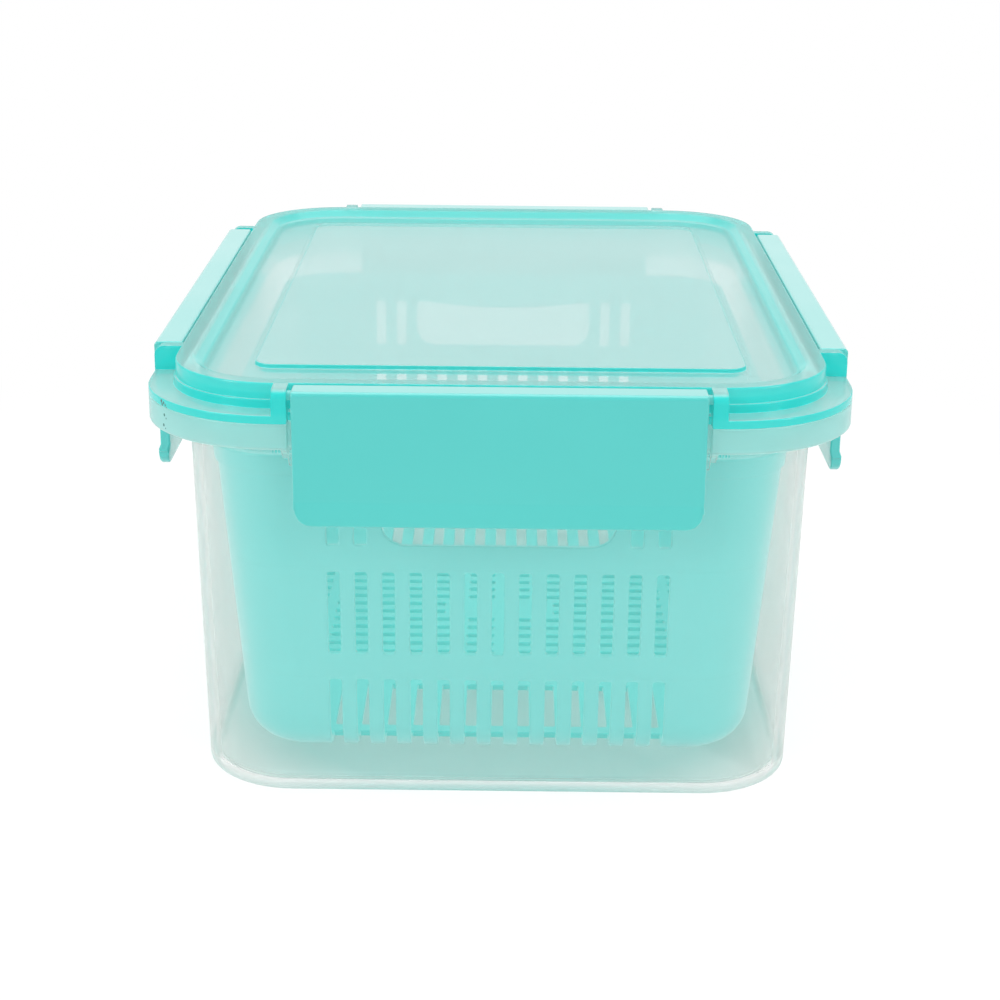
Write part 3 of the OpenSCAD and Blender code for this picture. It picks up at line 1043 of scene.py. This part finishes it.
def makeMouldSkin():
    # the fine skin and slow clouding of moulded plastic
    group, ins, outs = newGroup(
        "mouldSkin",
        [("Place", "Vector", None), ("Grain", "Float", 900.0), ("Cloud", "Float", 24.0)],
        [("Height", "Float"), ("Clouding", "Float")],
    )
    grain = node(group, "TexNoise", Detail=0.0)
    slow = node(group, "TexNoise", Detail=1.0, Roughness=0.55)
    group.links.new(ins.outputs["Place"], grain.inputs["Vector"])
    group.links.new(ins.outputs["Grain"], grain.inputs["Scale"])
    group.links.new(ins.outputs["Place"], slow.inputs["Vector"])
    group.links.new(ins.outputs["Cloud"], slow.inputs["Scale"])
    group.links.new(grain.outputs["Fac"], outs.inputs["Height"])
    group.links.new(slow.outputs["Fac"], outs.inputs["Clouding"])
    return group


mouldSkin = makeMouldSkin()
specks = {
    "colour": (0.02, 0.12, 0.11, 1),
    "onLid": (
        (-84.4, -108.7, 105.6, 0.5),
        (-83.6, -109.6, 105.4, 0.4),
        (-84.2, -109.0, 104.8, 0.48),
        (-83.0, -110.2, 105.0, 0.34),
        (-82.6, -110.6, 104.4, 0.36),
        (65.2, -64.5, 111.5, 0.3),
        (64.1, 29.3, 111.5, 0.3),
    ),
    "onTub": (
        (-83.4, -109.6, 102.3, 0.42),
        (-82.8, -110.3, 101.6, 0.3),
        (-83.7, -109.2, 99.6, 0.42),
        (-83.1, -109.9, 98.9, 0.28),
    ),
}


def newFinish(name):
    finish = bpy.data.materials.new(name)
    finish.use_nodes = True
    tree = finish.node_tree
    place = node(tree, "TexCoord").outputs["Object"]
    return finish, tree, tree.nodes["Principled BSDF"], place


def moulded(tree, place, look):
    made = node(tree, "Group", node_tree=mouldSkin)
    tree.links.new(place, made.inputs["Place"])
    made.inputs["Grain"].default_value, made.inputs["Cloud"].default_value = look["skin"]
    return made


def roughen(tree, skin, grain, look):
    # the clouding stays mostly between 0.3 and 0.7
    rough = between(tree, grain.outputs["Clouding"], 0.3, 0.7, *look["rough"])
    tree.links.new(rough, skin.inputs["Roughness"])


def setConstants(skin, look):
    for key, title in (
        ("through", "Transmission Weight"), ("ior", "IOR"), ("coat", "Coat Weight"),
        ("coatRough", "Coat Roughness"), ("sheen", "Sheen Weight"),
    ):
        if key in look:
            skin.inputs[title].default_value = look[key]


def addSpecks(tree, place, colour, spots):
    # a few dark specks of dirt stay where the object has them
    for x, y, z, radius in spots:
        away = vectorMaths(tree, "DISTANCE", place, (x * mm, y * mm, z * mm))
        inSpeck = maths(tree, "LESS_THAN", away, radius * mm)
        colour = mixColour(tree, inSpeck, colour, specks["colour"])
    return colour


def deeperAside(tree, keep, slant):
    # a slanting look goes through more of the wall: what is kept back grows with the path
    reach, power = slant
    aside = node(tree, "LayerWeight", Blend=0.5).outputs["Facing"]
    path = maths(tree, "DIVIDE", 1.0, maths(tree, "SUBTRACT", reach, aside))
    path = maths(tree, "POWER", path, power)
    passed = maths(tree, "POWER", maths(tree, "SUBTRACT", 1.0, keep), path)
    return maths(tree, "SUBTRACT", 1.0, passed)


def letLightIn(tree, alpha, share):
    # scattering plastic passes on more light than the eye sees through it
    path = node(tree, "LightPath")
    lit = maths(tree, "MAXIMUM", path.outputs["Is Shadow Ray"], path.outputs["Is Diffuse Ray"])
    kept = maths(tree, "SUBTRACT", 1.0, maths(tree, "MULTIPLY", lit, share))
    return maths(tree, "MULTIPLY", alpha, kept)


def bumped(tree, skin, height, strength, distance):
    bump = node(tree, "Bump", Strength=strength, Distance=distance * mm)
    tree.links.new(height, bump.inputs["Height"])
    tree.links.new(bump.outputs["Normal"], skin.inputs["Normal"])


mint = {
    "colour": (0.045, 0.54, 0.505, 1),
    "deep": (0.035, 0.515, 0.48, 1),
    "rough": (0.29, 0.36),
    "coat": 1.0,
    "coatRough": 0.2,
    "sheen": 0.25,
    "litShare": 0.55,
    "skin": (1100.0, 35.0),  # grains and clouds in a metre
    "bump": (0.25, 0.02),  # strength and depth
}


def mintFinish():
    finish, tree, skin, place = newFinish("mintPlastic")
    grain = moulded(tree, place, mint)
    colour = mixColour(tree, grain.outputs["Clouding"], mint["colour"], mint["deep"])
    tree.links.new(colour, skin.inputs["Base Color"])
    roughen(tree, skin, grain, mint)
    tree.links.new(letLightIn(tree, 1.0, mint["litShare"]), skin.inputs["Alpha"])
    setConstants(skin, mint)
    bumped(tree, skin, grain.outputs["Height"], *mint["bump"])
    return finish


frosted = {
    "colour": (0.79, 0.79, 0.755, 1),
    "rim": (0.38, 0.73, 0.7, 1),  # painted teal light: the doubled walls under the lid are painted with the teal that comes through the lid
    "foot": (0.2, 0.54, 0.5, 1),  # painted reflection: the thick floor is painted with the teal of the basket above it
    "alpha": 0.135,
    "rimAlpha": 0.8,
    "footAlpha": 0.58,
    "through": 0.55,  # of what the wall holds back, this goes on softened and the rest is haze
    "rimFrom": (96.0, 98.5),
    "footTo": (2.3, 4.8),
    "basketReflectionSpan": (88.0, 120.0),
    "basketReflectionFade": (0.95, 1.35),  # the painted reflection fades between these shares of the span
    "slant": (1.12, 1.5),  # how far a slanting look's path can grow, and its power
    "litShare": 0.93,
    "rough": (0.32, 0.42),
    "ior": 1.12,
    "coat": 0.5,
    "coatRough": 0.2,
    "skin": (1300.0, 30.0),
}


def frostedFinish():
    finish, tree, skin, place = newFinish("frostedPlastic")
    grain = moulded(tree, place, frosted)
    height = upwardOf(tree, place)
    rimShare = between(tree, height, *[z * mm for z in frosted["rimFrom"]])
    footShare = between(tree, height, *[z * mm for z in frosted["footTo"]], 1.0, 0.0)
    # painted reflection of the basket: the floor under it is painted teal, fading out towards the
    # sides
    spanX, spanY = frosted["basketReflectionSpan"]
    scaled = vectorMaths(tree, "DIVIDE", place, (spanX * mm, spanY * mm, 1.0))
    away = vectorMaths(tree, "LENGTH", scaled)
    paintedReflectionReach = between(tree, away, *frosted["basketReflectionFade"], 1.0, 0.0)
    paintedReflectionShare = maths(tree, "MULTIPLY", footShare, paintedReflectionReach)
    colour = mixColour(tree, paintedReflectionShare, frosted["colour"], frosted["foot"])
    # painted teal light from the lid, on the rim band
    colour = mixColour(tree, rimShare, colour, frosted["rim"])
    tree.links.new(addSpecks(tree, place, colour, specks["onTub"]), skin.inputs["Base Color"])
    alpha = between(tree, footShare, 0.0, 1.0, frosted["alpha"], frosted["footAlpha"])
    alpha = between(tree, rimShare, 0.0, 1.0, alpha, frosted["rimAlpha"])
    seen = deeperAside(tree, alpha, frosted["slant"])
    tree.links.new(letLightIn(tree, seen, frosted["litShare"]), skin.inputs["Alpha"])
    roughen(tree, skin, grain, frosted)
    setConstants(skin, frosted)
    return finish


lidPlastic = {
    # the pale sheet colour is partly a painted reflection of the bright backdrop and the top light
    "sheet": (0.36, 0.61, 0.59, 1),
    "wall": (0.02, 0.63, 0.59, 1),
    "sheetAlpha": 0.48,
    "wallAlpha": 0.92,
    "levelFrom": (0.72, 0.99),  # upright share of the normal, from wall to sheet
    "through": 0.15,
    "litShare": 0.93,
    "rough": (0.29, 0.36),
    "ior": 1.12,
    "coat": 0.7,
    "coatRough": 0.12,
    "skin": (1200.0, 28.0),
}


def lidFinish():
    # the walls are seen through more plastic than the flat sheet, so they are denser and deeper;
    # the flat sheet's paler colour is also a painted reflection of the bright backdrop and the top
    # light
    finish, tree, skin, place = newFinish("tealLidPlastic")
    grain = moulded(tree, place, lidPlastic)
    upright = maths(tree, "ABSOLUTE", upwardOf(tree, facingOf(tree)))
    level = between(tree, upright, *lidPlastic["levelFrom"])
    # painted reflection: faces that lie flat get the paler sheet colour
    colour = mixColour(tree, level, lidPlastic["wall"], lidPlastic["sheet"])
    tree.links.new(addSpecks(tree, place, colour, specks["onLid"]), skin.inputs["Base Color"])
    density = between(tree, level, 0.0, 1.0, lidPlastic["wallAlpha"], lidPlastic["sheetAlpha"])
    tree.links.new(letLightIn(tree, density, lidPlastic["litShare"]), skin.inputs["Alpha"])
    roughen(tree, skin, grain, lidPlastic)
    setConstants(skin, lidPlastic)
    return finish


basketPlastic = {
    "outside": (0.13, 0.62, 0.59, 1),
    "inside": (0.005, 0.63, 0.59, 1),  # painted bounce light: inside, the light that comes off more teal walls is painted in as a deeper teal
    "cloud": (0.05, 0.6, 0.56, 1),
    "middle": 60.0,  # height of the point that the inside faces
    "floorTop": 7.45,
    "litShare": 0.85,  # the thin walls pass light on to the inside
    "rough": (0.35, 0.45),
    "sheen": 0.4,
    "skin": (1000.0, 30.0),
    "clouding": 0.35,
    "grain": 0.05,  # height of the grain beside that of a step
    "steps": (29.2, 60.1),  # faint steps in the wall above the two lower rows
    "stepRise": 0.25,
    "bump": (0.6, 0.08),
}


def basketFinish():
    b = basketPlastic
    finish, tree, skin, place = newFinish("tealBasketPlastic")
    grain = moulded(tree, place, b)
    level = upwardOf(tree, place)
    outward = vectorMaths(tree, "SUBTRACT", place, (0.0, 0.0, b["middle"] * mm))
    facing = vectorMaths(tree, "DOT_PRODUCT", outward, facingOf(tree))
    turnedIn = maths(tree, "LESS_THAN", facing, 0.0)
    inFloor = maths(tree, "LESS_THAN", level, b["floorTop"] * mm)
    # painted bounce light: faces turned inwards and the floor get the deeper inside teal
    colour = mixColour(tree, maths(tree, "MAXIMUM", turnedIn, inFloor), b["outside"], b["inside"])
    clouded = maths(tree, "MULTIPLY", grain.outputs["Clouding"], b["clouding"])
    tree.links.new(mixColour(tree, clouded, colour, b["cloud"]), skin.inputs["Base Color"])
    tree.links.new(letLightIn(tree, 1.0, b["litShare"]), skin.inputs["Alpha"])
    roughen(tree, skin, grain, b)
    setConstants(skin, b)
    height = maths(tree, "MULTIPLY", grain.outputs["Height"], b["grain"])
    for step in b["steps"]:
        risen = between(tree, level, step * mm, (step + b["stepRise"]) * mm)
        height = maths(tree, "ADD", height, risen)
    bumped(tree, skin, height, *b["bump"])
    return finish


sealRubber = {
    "colour": (0.2, 0.68, 0.64, 1),
    "deep": (0.17, 0.64, 0.6, 1),
    "rough": 0.6,
    "skin": (1500.0, 60.0),
    "bump": (0.3, 0.02),
}


def sealFinish():
    finish, tree, skin, place = newFinish("sealSilicone")
    grain = moulded(tree, place, sealRubber)
    colour = mixColour(tree, grain.outputs["Clouding"], sealRubber["colour"], sealRubber["deep"])
    tree.links.new(colour, skin.inputs["Base Color"])
    skin.inputs["Roughness"].default_value = sealRubber["rough"]
    bumped(tree, skin, grain.outputs["Height"], *sealRubber["bump"])
    return finish


def dress(piece, finish, body, slot, *nodes):
    piece.data.materials.clear()
    piece.data.materials.append(finish)
    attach(piece, body)
    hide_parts(*nodes)


dress(makeTub(), frostedFinish(), "box", "tub", "container")
print("tub made")
dress(makeLid(), lidFinish(), "box", "lid", "lid")
print("lid made")
dress(makeSeal(), sealFinish(), "box", "seal", "seal_ring")
dress(makeBasket(), basketFinish(), "box", "basket", "basket")
print("gasket and basket made")

mintPlastic = mintFinish()
front = makeLatch("latchFront", latchHalf["short"], rim["halfY"] - lid["ringInset"])
rear = copyOf(front, "latchRear", 180)
longLatch = makeLatch("longLatch", latchHalf["long"], rim["halfX"] - lid["ringInset"])
left = copyOf(longLatch, "latchLeft", 270)
right = copyOf(longLatch, "latchRight", 90)
bpy.data.objects.remove(longLatch)
dress(front, mintPlastic, "front_latch", "latch", "latch_front")
dress(rear, mintPlastic, "rear_latch", "latch", "latch_rear")
dress(left, mintPlastic, "left_latch", "latch", "latch_left")
dress(right, mintPlastic, "right_latch", "latch", "latch_right")
print("latches made")
